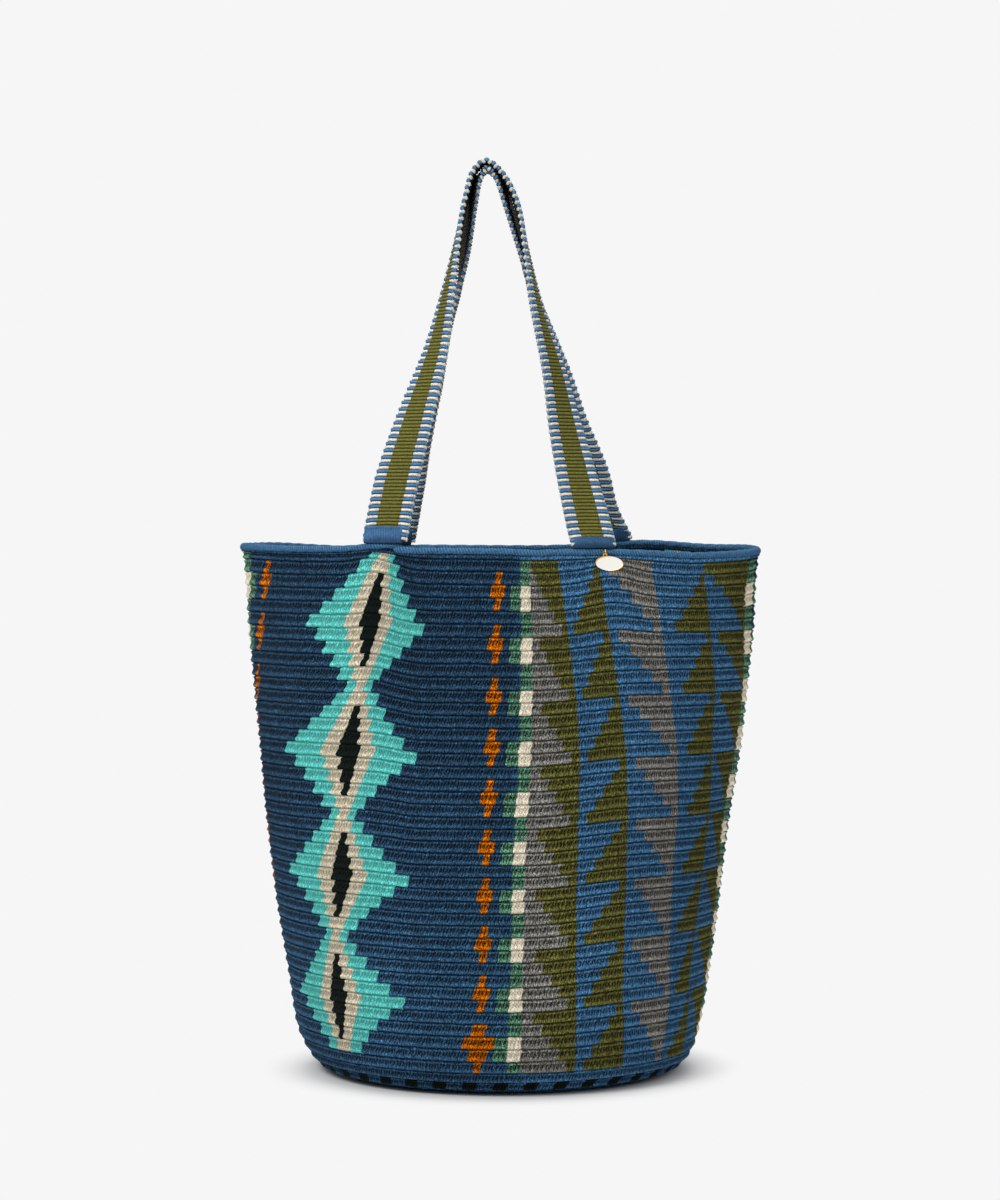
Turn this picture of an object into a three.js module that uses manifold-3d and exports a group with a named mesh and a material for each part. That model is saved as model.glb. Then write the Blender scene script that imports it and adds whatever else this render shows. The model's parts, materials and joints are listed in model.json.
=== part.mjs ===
// A crocheted bucket tote: a round-based body worked in ridged rows, a rolled cord edging round
// its flattened mouth, two woven straps bound to the rim, and a small oval metal tag on a ring.
// Millimetres, +Z up, front towards -Y. The origin is the middle of the flat base, on the floor.
import * as THREE from "three";
import { mergeVertices } from "three/addons/utils/BufferGeometryUtils.js";
import Module from "manifold-3d";

const wasm = await Module();
wasm.setup();

// Body
const baseRadius = 100; // flat round base where it meets the floor
const bellyHeight = 48; // the rounded lower corner ends here
const bellyRadius = 129.2; // the plan is still round at the belly
const mouthHalfWidth = 160.3;
const mouthHalfDepth = 66; // the straps pull the round mouth into a flat oval
const wallHeight = 317.5; // top of the last row
const wallThickness = 3.2;
const flatteningPower = 1.2; // how late the round plan starts to flatten
const mouthTilt = 1.5; // the left end of the mouth stands this much high, the right this much low
const rowPitch = 7.55; // one crocheted ridge and its groove
const ridgeDepth = 1.2;
const ridgeShare = 0.62; // how far down its row the crest of a ridge lies
const bodySegments = 40;
const innerRings = 12;

// Rim edging and the gap kept between touching pieces
const rollDiameter = 4.8;
const rollSides = 8;
const seatGap = 0.3;

// Straps and their bindings
const strapWidth = 27;
const strapThickness = 3.6;
const ribPitch = 4.5; // one proud and one sunken bar of the woven edge
const ribDepth = 0.35;
const strapRise = 237.2; // rim top to the middle of the front strap at its crown
const strapNest = 1.4; // space between the two straps where one lies inside the other
const frontCrownAt = -9; // right of the middle, as all places across the bag
const frontLeftAt = -69.8;
const frontRightAt = 56.3;
const backCrownAt = -8;
const backLeftAt = -68;
const backRightAt = 70.5;
const bindingWidth = 22;
const bindingHeight = 8;
const bindingWall = 1.4;
const bindingBase = 1.2;

// Tag and ring
const tagLength = 17.2;
const tagHeight = 9;
const tagThickness = 0.8;
const tagOffset = 3; // middle of the oval, right of the hole it hangs by
const tagTurn = -5; // degrees, right end low
const tagAt = 62.5; // distance of the ring to the right of the middle
const ringRadius = 1.7;
const wireDiameter = 0.7;
const ringDrop = 1.9; // ring middle below the top of the roll
const ringOut = 1.5; // ring middle outside the crests of the wall
const eyeRadius = 0.75;
const eyeRim = 0.6;
const eyeLift = 0.35; // middle of the eye above the edge of the oval

// Each leg's route runs from its foot on the rim to the crown. A pair is the share of the height
// climbed and the share of the sideways distance to the crown that is still left.
const straps = [
  {
    name: "front_strap",
    side: -1,
    crownAt: frontCrownAt,
    crownDrop: 0,
    legs: {
      left: {
        footAt: frontLeftAt,
        twist: [0.16, 0.88],
        route: [[0.16, 0.88], [0.313, 0.717], [0.5, 0.5], [0.633, 0.395], [0.76, 0.304], [0.9, 0.205], [0.975, 0.12]],
      },
      right: {
        footAt: frontRightAt,
        twist: [0.05, 0.85],
        route: [[0.184, 0.842], [0.313, 0.737], [0.446, 0.642], [0.633, 0.467], [0.76, 0.38], [0.9, 0.28], [0.975, 0.13]],
      },
    },
  },
  {
    name: "back_strap",
    side: 1,
    crownAt: backCrownAt,
    crownDrop: strapThickness + strapNest,
    legs: {
      left: {
        footAt: backLeftAt,
        twist: [0.16, 0.88],
        route: [[0.248, 0.81], [0.45, 0.52], [0.648, 0.27], [0.778, 0.19], [0.9, 0.125], [0.97, 0.07]],
      },
      right: {
        footAt: backRightAt,
        twist: [0.05, 0.85],
        route: [[0.083, 0.882], [0.191, 0.811], [0.326, 0.669], [0.461, 0.567], [0.787, 0.225], [0.9, 0.14], [0.97, 0.07]],
      },
    },
  },
];

const rollTop = wallHeight + seatGap + rollDiameter;
const rollHalfWidth = mouthHalfWidth - wallThickness / 2;
const rollHalfDepth = mouthHalfDepth - wallThickness / 2;
const turn = 2 * Math.PI;

const yarnBlue = new THREE.MeshStandardMaterial({ color: 0x2f4d6b, roughness: 0.9, metalness: 0 });
const edgeBlue = new THREE.MeshStandardMaterial({ color: 0x3a5f83, roughness: 0.9, metalness: 0 });
const threadBlue = new THREE.MeshStandardMaterial({ color: 0x4f7ba3, roughness: 0.7, metalness: 0 });
const wovenOlive = new THREE.MeshStandardMaterial({ color: 0x77743a, roughness: 0.85, metalness: 0 });
const paleGold = new THREE.MeshStandardMaterial({ color: 0xe6c98a, roughness: 0.25, metalness: 1 });

// A closed skin through rings of points. The ends are closed by a point each, or the last ring
// runs on into the first.
function skin(rings, ends) {
  const count = rings[0].length;
  const points = rings.flat();
  const faces = [];
  const spans = ends ? rings.length - 1 : rings.length;
  for (let i = 0; i < spans; i += 1) {
    const low = i * count;
    const high = ((i + 1) % rings.length) * count;
    for (let j = 0; j < count; j += 1) {
      const next = (j + 1) % count;
      faces.push(low + j, low + next, high + next, low + j, high + next, high + j);
    }
  }
  if (ends) {
    const first = points.length;
    const top = (rings.length - 1) * count;
    points.push(...ends);
    for (let j = 0; j < count; j += 1) {
      const next = (j + 1) % count;
      faces.push(first, next, j, top + j, top + next, first + 1);
    }
  }
  const geometry = new THREE.BufferGeometry().setFromPoints(points);
  geometry.setIndex(faces);
  return geometry;
}

function middleOf(ring) {
  const sum = ring.reduce((total, point) => total.add(point), new THREE.Vector3());
  return sum.divideScalar(ring.length);
}

// Manifold solids, for the cuts only
function toSolid(geometry) {
  const bare = geometry.clone();
  bare.deleteAttribute("normal");
  bare.deleteAttribute("uv");
  const merged = mergeVertices(bare, 1e-4);
  return new wasm.Manifold(
    new wasm.Mesh({
      numProp: 3,
      vertProperties: new Float32Array(merged.attributes.position.array),
      triVerts: new Uint32Array(merged.index.array),
    }),
  );
}

function toGeometry(solid) {
  const mesh = solid.getMesh();
  const geometry = new THREE.BufferGeometry();
  geometry.setAttribute("position", new THREE.BufferAttribute(new Float32Array(mesh.vertProperties), 3));
  geometry.setIndex(new THREE.BufferAttribute(new Uint32Array(mesh.triVerts), 1));
  return geometry;
}

// Body: half a side view, as a curve of radius against height
const wallSlope = (mouthHalfWidth - bellyRadius) / (wallHeight - bellyHeight);
const sideView = new THREE.CurvePath();
sideView.add(
  new THREE.QuadraticBezierCurve(
    new THREE.Vector2(baseRadius, 0),
    new THREE.Vector2(bellyRadius - wallSlope * bellyHeight, 0),
    new THREE.Vector2(bellyRadius, bellyHeight),
  ),
);
sideView.add(
  new THREE.LineCurve(new THREE.Vector2(bellyRadius, bellyHeight), new THREE.Vector2(mouthHalfWidth, wallHeight)),
);

// How deep the oval plan is for its width at a height: round up to the belly, flattest at the mouth
function depthShare(height) {
  const climb = Math.max(0, (height - bellyHeight) / (wallHeight - bellyHeight));
  return 1 - (1 - mouthHalfDepth / mouthHalfWidth) * climb ** flatteningPower;
}

function mouthLift(x, height) {
  return (-mouthTilt * x * (height / wallHeight) ** 2) / mouthHalfWidth;
}

// One ring of the wall, a share of the way up the side view and sunk below its surface
function wallRing(share, sunk) {
  const at = sideView.getPoint(share);
  const ahead = sideView.getPoint(Math.min(1, share + 0.001));
  const behind = sideView.getPoint(Math.max(0, share - 0.001));
  const along = ahead.sub(behind).normalize();
  const across = share === 1 ? 0 : along.x; // the top edge is level across its thickness
  const halfWidth = at.x - sunk * along.y;
  const halfDepth = at.x * depthShare(at.y) - sunk * along.y;
  const height = at.y + sunk * across;
  const ring = [];
  for (let j = 0; j < bodySegments; j += 1) {
    const angle = (turn * j) / bodySegments;
    const x = halfWidth * Math.cos(angle);
    ring.push(new THREE.Vector3(x, halfDepth * Math.sin(angle), height + mouthLift(x, height)));
  }
  return ring;
}

function crochetBody() {
  const rows = Math.round(sideView.getLength() / rowPitch);
  const rings = [wallRing(0, 0)];
  for (let row = 0; row < rows; row += 1) {
    if (row > 0) {
      rings.push(wallRing(row / rows, ridgeDepth));
    }
    rings.push(wallRing((row + 1 - ridgeShare) / rows, 0));
  }
  rings.push(wallRing(1, ridgeDepth / 2));
  for (let i = innerRings; i >= 0; i -= 1) {
    rings.push(wallRing(i / innerRings, wallThickness));
  }
  const floorMiddle = new THREE.Vector3(0, 0, wallThickness);
  return skin(rings, [new THREE.Vector3(0, 0, 0), floorMiddle]);
}

// Rim edging: a cord laid round the top of the wall, with a notch where the ring is nipped in
function rimEdging() {
  const rings = [];
  for (let j = 0; j < bodySegments; j += 1) {
    const angle = (turn * j) / bodySegments;
    const x = rollHalfWidth * Math.cos(angle);
    const y = rollHalfDepth * Math.sin(angle);
    const out = new THREE.Vector3(x / rollHalfWidth ** 2, y / rollHalfDepth ** 2, 0).normalize();
    const middle = new THREE.Vector3(x, y, rollTop - rollDiameter / 2 + mouthLift(x, rollTop));
    const ring = [];
    for (let k = 0; k < rollSides; k += 1) {
      const around = (-turn * (k + 0.5)) / rollSides;
      const reach = (rollDiameter / 2) * Math.cos(around);
      const point = middle.clone().addScaledVector(out, reach);
      point.z += (rollDiameter / 2) * Math.sin(around);
      ring.push(point);
    }
    rings.push(ring);
  }
  return toGeometry(toSolid(skin(rings)).subtract(toSolid(ringTorus(wireDiameter / 2 + seatGap))));
}

// Straps
function footOf(strap, leg) {
  const depth = rollHalfDepth * Math.sqrt(1 - (leg.footAt / rollHalfWidth) ** 2);
  const height = rollTop + mouthLift(leg.footAt, rollTop) + 2 * seatGap + bindingBase;
  return new THREE.Vector3(leg.footAt, strap.side * depth, height);
}

function crownOf(strap) {
  return new THREE.Vector3(strap.crownAt, 0, rollTop + strapRise - strap.crownDrop);
}

function legPoints(strap, leg) {
  const foot = footOf(strap, leg);
  const crown = crownOf(strap);
  const points = [foot];
  for (const [climbed, left] of leg.route) {
    const x = THREE.MathUtils.lerp(crown.x, foot.x, left);
    points.push(new THREE.Vector3(x, foot.y * (1 - climbed), THREE.MathUtils.lerp(foot.z, crown.z, climbed)));
  }
  return points;
}

function strapCurve(strap) {
  const left = legPoints(strap, strap.legs.left);
  const right = legPoints(strap, strap.legs.right).reverse();
  const curve = new THREE.CatmullRomCurve3([...left, crownOf(strap), ...right], false, "centripetal");
  curve.arcLengthDivisions = 1200;
  return curve;
}

// Where the strap's face looks at a point of its length: along the rim's own outline at the foot,
// turned edge on at the crown
function frameAt(strap, curve, length) {
  const whole = curve.getLength();
  const share = THREE.MathUtils.clamp(length / whole, 0, 1);
  const beyond = Math.max(0, -length, length - whole);
  const point = curve.getPointAt(share);
  const along = curve.getTangentAt(share);
  const crown = crownOf(strap);
  const onLeft = point.x < crown.x;
  const leg = onLeft ? strap.legs.left : strap.legs.right;
  const foot = footOf(strap, leg);
  const climbed = THREE.MathUtils.clamp((point.z - foot.z) / (crown.z - foot.z), 0, 1);
  const turned = THREE.MathUtils.clamp((climbed - leg.twist[0]) / (leg.twist[1] - leg.twist[0]), 0, 1);
  const atFoot = Math.atan2(Math.abs(foot.x) / rollHalfWidth ** 2, Math.abs(foot.y) / rollHalfDepth ** 2);
  const angle = THREE.MathUtils.lerp(atFoot, Math.PI / 2, 1 - (1 - turned) ** 1.4);
  const sideways = (onLeft ? 1 : -1) * strap.side * Math.cos(angle);
  const across = new THREE.Vector3(sideways, Math.sin(angle), 0);
  const face = along.clone().cross(across).normalize();
  point.z -= beyond;
  return { point, across, face };
}

function ribbonRing(frame, corners) {
  return corners.map(([wide, thick]) =>
    frame.point.clone().addScaledVector(frame.across, wide).addScaledVector(frame.face, thick),
  );
}

function flatCorners(width, thickness) {
  const w = width / 2;
  const t = thickness / 2;
  return [[w, t], [-w, t], [-w, -t], [w, -t]];
}

function ribbon(strap, curve, stops) {
  const rings = stops.map(([length, corners]) => ribbonRing(frameAt(strap, curve, length), corners));
  return skin(rings, [middleOf(rings[0]), middleOf(rings[rings.length - 1])]);
}

function wovenStrap(strap, curve) {
  const whole = curve.getLength();
  const bars = Math.round((2 * whole) / ribPitch);
  const stops = [];
  for (let i = 0; i <= bars; i += 1) {
    const sunk = i % 2 === 0 ? 0 : ribDepth;
    stops.push([(whole * i) / bars, flatCorners(strapWidth - 2 * sunk, strapThickness - 2 * sunk)]);
  }
  return ribbon(strap, curve, stops);
}

// Satin-stitched binding: a pad on each face of the strap's end, joined under it
function strapBinding(strap, curve, atStart) {
  const whole = curve.getLength();
  const place = (length) => (atStart ? length : whole - length);
  const thick = strapThickness + 2 * (seatGap + bindingWall);
  const pad = (width, depth) => {
    const w = width / 2;
    const t = depth / 2;
    const c = bindingWall;
    return [[w, t - c], [w - c, t], [c - w, t], [-w, t - c], [-w, c - t], [c - w, -t], [w - c, -t], [w, c - t]];
  };
  const full = pad(bindingWidth, thick);
  const drawnIn = pad(bindingWidth - bindingWall, thick - bindingWall);
  const outer = [
    [place(-bindingBase - seatGap), drawnIn],
    [place(0), full],
    [place(bindingHeight / 2), full],
    [place(bindingHeight - bindingWall), full],
    [place(bindingHeight), drawnIn],
  ];
  const slotCorners = flatCorners(strapWidth, strapThickness + 2 * seatGap);
  const slot = [
    [place(-seatGap), slotCorners],
    [place(bindingHeight / 2), slotCorners],
    [place(bindingHeight + bindingWall), slotCorners],
  ];
  const inOrder = (stops) => (atStart ? stops : [...stops].reverse());
  const block = toSolid(ribbon(strap, curve, inOrder(outer)));
  return toGeometry(block.subtract(toSolid(ribbon(strap, curve, inOrder(slot)))));
}

// Tag and ring: placed on the wall's own outline to the right of the middle
const tagDepth = -mouthHalfDepth * Math.sqrt(1 - (tagAt / mouthHalfWidth) ** 2);
const tagOut = new THREE.Vector3(tagAt / mouthHalfWidth ** 2, tagDepth / mouthHalfDepth ** 2, 0).normalize();
const tagAlong = new THREE.Vector3(-tagOut.y, tagOut.x, 0);
const ringMiddle = new THREE.Vector3(tagAt, tagDepth, rollTop - ringDrop + mouthLift(tagAt, rollTop));
ringMiddle.addScaledVector(tagOut, ringOut);

function ringTorus(wireRadius) {
  const torus = new THREE.TorusGeometry(ringRadius, wireRadius, 6, 18);
  const upright = new THREE.Matrix4().makeBasis(tagOut, new THREE.Vector3(0, 0, 1), tagAlong.clone().negate());
  torus.applyMatrix4(upright.setPosition(ringMiddle));
  return torus;
}

// How far the wall stands out towards the tag at a height
function wallReach(height) {
  const side = tagAt / mouthHalfWidth;
  const halfWidth = mouthHalfWidth - wallSlope * (wallHeight - height);
  const halfDepth = halfWidth * depthShare(height);
  return halfWidth * side * tagOut.x - halfDepth * Math.sqrt(1 - side ** 2) * tagOut.y;
}

// The lean at which the tag's low edge rests on the crests of the wall
function tagLean() {
  const hang = ringRadius + eyeLift + tagHeight;
  const wallLean = Math.atan((wallReach(wallHeight - hang) - wallReach(wallHeight)) / hang);
  const clear = seatGap + tagThickness / 2 - ringOut * Math.cos(wallLean);
  const drop = (wallHeight - rollTop + ringDrop) * Math.sin(wallLean);
  return wallLean + Math.asin((clear + drop) / hang);
}

function ovalTag() {
  const oval = new THREE.Shape();
  const ovalTop = -(ringRadius + eyeLift);
  oval.absellipse(0, ovalTop - tagHeight / 2, tagLength / 2, tagHeight / 2, 0, turn);
  const plate = new THREE.ExtrudeGeometry(oval, { depth: tagThickness, bevelEnabled: false, curveSegments: 28 });
  plate.translate(tagOffset, ringRadius, -tagThickness / 2);
  plate.rotateZ(THREE.MathUtils.degToRad(tagTurn));
  plate.translate(0, -ringRadius, 0);
  const ear = new THREE.CylinderGeometry(eyeRadius + eyeRim, eyeRadius + eyeRim, tagThickness, 16);
  ear.rotateX(Math.PI / 2);
  ear.translate(0, -ringRadius, 0);
  const eye = new THREE.CylinderGeometry(eyeRadius, eyeRadius, 2 * tagThickness, 12);
  eye.rotateX(Math.PI / 2);
  eye.translate(0, -ringRadius, 0);
  const geometry = toGeometry(toSolid(plate).add(toSolid(ear)).subtract(toSolid(eye)));
  geometry.rotateX(-tagLean());
  const facing = new THREE.Matrix4().makeBasis(tagAlong, new THREE.Vector3(0, 0, 1), tagOut);
  geometry.applyMatrix4(facing.setPosition(ringMiddle));
  return geometry;
}

const tote = new THREE.Group();

function addPiece(name, geometry, material) {
  const mesh = new THREE.Mesh(geometry, material);
  mesh.name = name;
  tote.add(mesh);
}

addPiece("crochet_body", crochetBody(), yarnBlue);
addPiece("rim_edging", rimEdging(), edgeBlue);
for (const strap of straps) {
  const curve = strapCurve(strap);
  const place = strap.name.replace("_strap", "");
  addPiece(strap.name, wovenStrap(strap, curve), wovenOlive);
  addPiece(`${place}_left_binding`, strapBinding(strap, curve, true), threadBlue);
  addPiece(`${place}_right_binding`, strapBinding(strap, curve, false), threadBlue);
}
addPiece("tag_ring", ringTorus(wireDiameter / 2), paleGold);
addPiece("oval_tag", ovalTag(), paleGold);

export default tote;
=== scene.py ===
import json
import math

import bpy
import numpy as np
from mathutils import Matrix, Vector

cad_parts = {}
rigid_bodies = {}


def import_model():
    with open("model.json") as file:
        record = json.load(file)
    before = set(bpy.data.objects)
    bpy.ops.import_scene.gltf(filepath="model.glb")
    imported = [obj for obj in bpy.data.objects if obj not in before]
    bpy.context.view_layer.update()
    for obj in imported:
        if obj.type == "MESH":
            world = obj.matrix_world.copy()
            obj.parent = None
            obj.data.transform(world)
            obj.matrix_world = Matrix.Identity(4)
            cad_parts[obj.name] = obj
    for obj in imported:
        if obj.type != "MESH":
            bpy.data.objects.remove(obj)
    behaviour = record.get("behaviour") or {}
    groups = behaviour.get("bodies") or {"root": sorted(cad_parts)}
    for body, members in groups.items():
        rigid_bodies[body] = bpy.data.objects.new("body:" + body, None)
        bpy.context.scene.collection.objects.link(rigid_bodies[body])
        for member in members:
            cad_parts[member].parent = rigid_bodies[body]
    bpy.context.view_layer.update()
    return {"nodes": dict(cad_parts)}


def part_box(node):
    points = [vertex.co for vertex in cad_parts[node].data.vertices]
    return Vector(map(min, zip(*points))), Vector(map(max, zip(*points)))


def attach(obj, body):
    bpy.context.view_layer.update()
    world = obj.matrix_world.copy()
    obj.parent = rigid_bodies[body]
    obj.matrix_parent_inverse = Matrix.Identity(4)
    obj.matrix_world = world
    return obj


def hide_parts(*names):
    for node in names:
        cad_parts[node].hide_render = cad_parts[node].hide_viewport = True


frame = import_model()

# Looks of a crocheted bucket tote. Lengths in the settings are millimetres, angles degrees.
# A place round the bag is its angle from the front, positive to the right seen from the front.
scene = bpy.context.scene
mm = 0.001

view = {
    "across": -0.3, "distance": 2159.1, "height": 355.3, "pitchDown": 1.745,
    "lens": 104.58, "sensor": 36.0,  # the frame is 1000 by 1200, so the sensor is its height
}

light = {
    "paper": "#F6F6F6", "ambient": 0.38, "floor": 0.75, "floorFade": (0.103, 0.152),
    "floorReach": 6.0, "floorGap": 0.4, "aim": (0, 0, 250),  # the reach is in metres
    "lamps": [
        # name, place, size, watts
        ("keySoftbox", (-1500, -2000, 2500), 1200, 62),
        ("fillSoftbox", (1900, -1900, 1700), 1500, 7),
        ("topSoftbox", (0, 200, 2600), 1600, 31),
        ("backSoftbox", (500, 2300, 1800), 1600, 22),
    ],
}


def yarn(code):
    # a written sRGB colour as a linear colour
    parts = [int(code[i:i + 2], 16) / 255 for i in (1, 3, 5)]
    return tuple(p / 12.92 if p <= 0.04045 else ((p + 0.055) / 1.055) ** 2.4 for p in parts) + (1.0,)


# shader maths as expressions


class Signal:
    def __init__(self, paint, socket):
        self.paint = paint
        self.socket = socket

    def other(self, index):
        return Signal(self.paint, self.socket.node.outputs[index])

    def calc(self, operation, *rest):
        return self.paint.node("ShaderNodeMath", {"operation": operation}, dict(enumerate((self, *rest))))

    def __add__(self, rest):
        return self.calc("ADD", rest)

    __radd__ = __add__

    def __sub__(self, rest):
        return self.calc("SUBTRACT", rest)

    def __rsub__(self, first):
        return self.paint.node("ShaderNodeMath", {"operation": "SUBTRACT"}, {0: first, 1: self})

    def __mul__(self, rest):
        return self.calc("MULTIPLY", rest)

    __rmul__ = __mul__

    def __truediv__(self, rest):
        return self.calc("DIVIDE", rest)

    def __neg__(self):
        return self.calc("MULTIPLY", -1.0)

    def __abs__(self):
        return self.calc("ABSOLUTE")

    def __gt__(self, rest):
        return self.calc("GREATER_THAN", rest)

    def __lt__(self, rest):
        return self.calc("LESS_THAN", rest)

    def __mod__(self, rest):
        return self.calc("FLOORED_MODULO", rest)

    def whole(self):
        return self.calc("FLOOR")

    def part(self):
        return self.calc("FRACT")

    def wave(self):
        return self.calc("SINE")

    def least(self, rest):
        return self.calc("MINIMUM", rest)

    def most(self, rest):
        return self.calc("MAXIMUM", rest)

    def within(self, low, high):
        return (self > low) * (self < high)


class Paint:
    def __init__(self, name, constants):
        self.material = bpy.data.materials.new(name)
        self.material.use_nodes = True
        self.tree = self.material.node_tree
        self.shader = self.tree.nodes["Principled BSDF"]
        for socket, value in constants.items():
            self.shader.inputs[socket].default_value = value

    def node(self, kind, settings=None, sockets=None, output=0):
        made = self.tree.nodes.new(kind)
        for key, value in (settings or {}).items():
            if key == "stops":
                self.setStops(made.color_ramp, value)
            else:
                setattr(made, key, value)
        for key, value in (sockets or {}).items():
            self.feed(made.inputs[key], value)
        return Signal(self, made.outputs[output])

    def setStops(self, ramp, stops):
        ramp.elements.remove(ramp.elements[1])
        ramp.elements[0].position = stops[0][0]
        for place, _ in stops[1:]:
            ramp.elements.new(place)
        for element, (_, level) in zip(ramp.elements, stops):
            element.color = (level, level, level, 1)

    def feed(self, socket, value):
        if isinstance(value, Signal):
            self.tree.links.new(value.socket, socket)
        else:
            socket.default_value = value

    def mix(self, share, first, second):
        return self.node("ShaderNodeMix", {"data_type": "RGBA"}, {0: share, 6: first, 7: second}, 2)

    def shaded(self, colour, level):
        # a colour times a number
        grey = self.node("ShaderNodeCombineXYZ", {}, {0: level, 1: level, 2: level})
        colour = colour if isinstance(colour, Signal) else colour[:3]
        return self.node("ShaderNodeVectorMath", {"operation": "MULTIPLY"}, {0: colour, 1: grey})

    def noise(self, place, scale, detail=2.0, rough=0.5):
        sockets = {"Vector": place, "Scale": scale, "Detail": detail, "Roughness": rough}
        return self.node("ShaderNodeTexNoise", {}, sockets)

    def ramp(self, value, low, high):
        # 0 below low, 1 above high, with a soft step between
        sockets = {0: value, 1: low, 2: high}
        return self.node("ShaderNodeMapRange", {"interpolation_type": "SMOOTHSTEP"}, sockets)

    def place(self):
        return self.node("ShaderNodeTexCoord", {}, {}, 3)

    def mapped(self, name):
        return self.node("ShaderNodeSeparateXYZ", {}, {0: self.node("ShaderNodeUVMap", {"uv_map": name})})

    def attribute(self, name):
        return self.node("ShaderNodeAttribute", {"attribute_name": name}, {}, 2)

    def finish(self, colour=None, relief=None, depth=1.0, roughness=None):
        if colour is not None:
            self.feed(self.shader.inputs["Base Color"], colour)
        if roughness is not None:
            self.feed(self.shader.inputs["Roughness"], roughness)
        if relief is not None:
            bump = self.node("ShaderNodeBump", {}, {"Strength": 1.0, "Distance": depth * mm, "Height": relief})
            self.feed(self.shader.inputs["Normal"], bump)
        return self.material


# meshes from rings of points


def outward(mesh):
    # turns a closed mesh's faces to point out
    points = np.empty(len(mesh.vertices) * 3)
    mesh.vertices.foreach_get("co", points)
    points = points.reshape(-1, 3)
    mesh.calc_loop_triangles()
    corners = np.empty(len(mesh.loop_triangles) * 3, dtype=np.int32)
    mesh.loop_triangles.foreach_get("vertices", corners)
    a, b, c = (points[corners[i::3]] for i in range(3))
    if np.einsum("ij,ij->i", a, np.cross(b, c)).sum() < 0:
        mesh.flip_normals()


def ringMesh(name, rings, chart=None, chartName="stitchMap", loop=False):
    # rings is (rings, points, 3) in millimetres; its ends are closed by a fan unless it is a loop
    rings = np.asarray(rings, dtype=float)
    count, around = rings.shape[:2]
    spans = count if loop else count - 1
    i, j = np.meshgrid(np.arange(spans), np.arange(around), indexing="ij")
    i, j = i.ravel(), j.ravel()
    above, beside = (i + 1) % count, (j + 1) % around
    quads = np.stack([i * around + j, i * around + beside, above * around + beside, above * around + j], 1)
    points = rings.reshape(-1, 3)
    faces = quads.tolist()
    if not loop:
        points = np.vstack([points, rings[0].mean(0), rings[-1].mean(0)])
        low, high = count * around, (count - 1) * around
        for k in range(around):
            after = (k + 1) % around
            faces.append([low, after, k])
            faces.append([high + k, high + after, low + 1])
    mesh = bpy.data.meshes.new(name)
    mesh.from_pydata((points * mm).tolist(), [], faces)
    if chart is not None:
        # chart is (rings, points + 1, 2), so the seam's two sides can differ
        chart = np.asarray(chart, dtype=float)
        wide = around + 1
        flat = chart.reshape(-1, 2)
        corner = np.stack([i * wide + j, i * wide + j + 1, (i + 1) * wide + j + 1, (i + 1) * wide + j], 1)
        values = [flat[corner].reshape(-1, 2)]
        if not loop:
            k = np.arange(around)
            last = (count - 1) * wide
            for a, b in ((k + 1, k), (last + k, last + k + 1)):
                middle = (flat[a] + flat[b]) / 2
                order = (middle, flat[a], flat[b]) if a[0] < last else (flat[a], flat[b], middle)
                values.append(np.stack(order, 1).reshape(-1, 2))
            # the faces of the two fans were written in turn
            fans = np.stack([values[1].reshape(-1, 3, 2), values[2].reshape(-1, 3, 2)], 1).reshape(-1, 2)
            values = [values[0], fans]
        layer = mesh.uv_layers.new(name=chartName)
        layer.data.foreach_set("uv", np.vstack(values).astype(np.float32).ravel())
    outward(mesh)
    mesh.shade_smooth()
    made = bpy.data.objects.new(name, mesh)
    scene.collection.objects.link(made)
    return made


def ease(values, low, high):
    share = np.clip((np.asarray(values, dtype=float) - low) / (high - low), 0, 1)
    return share * share * (3 - 2 * share)


def swell(values, middle, width):
    return np.exp(-(((np.asarray(values, dtype=float) - middle) / width) ** 2))


# camera, floor and lamps


def makeCamera():
    lens = bpy.data.cameras.new("camera")
    lens.lens = view["lens"]
    lens.sensor_width = view["sensor"]
    camera = bpy.data.objects.new("camera", lens)
    camera.location = (view["across"] * mm, -view["distance"] * mm, view["height"] * mm)
    camera.rotation_euler = (math.radians(90 - view["pitchDown"]), 0, 0)
    scene.collection.objects.link(camera)
    scene.camera = camera


def seenRays(tree):
    # 1 for what the camera and reflections see, 0 for light on the way to a surface
    path = tree.nodes.new("ShaderNodeLightPath")
    seen = tree.nodes.new("ShaderNodeMath")
    seen.operation = "MAXIMUM"
    tree.links.new(path.outputs["Is Camera Ray"], seen.inputs[0])
    tree.links.new(path.outputs["Is Glossy Ray"], seen.inputs[1])
    return seen


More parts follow.
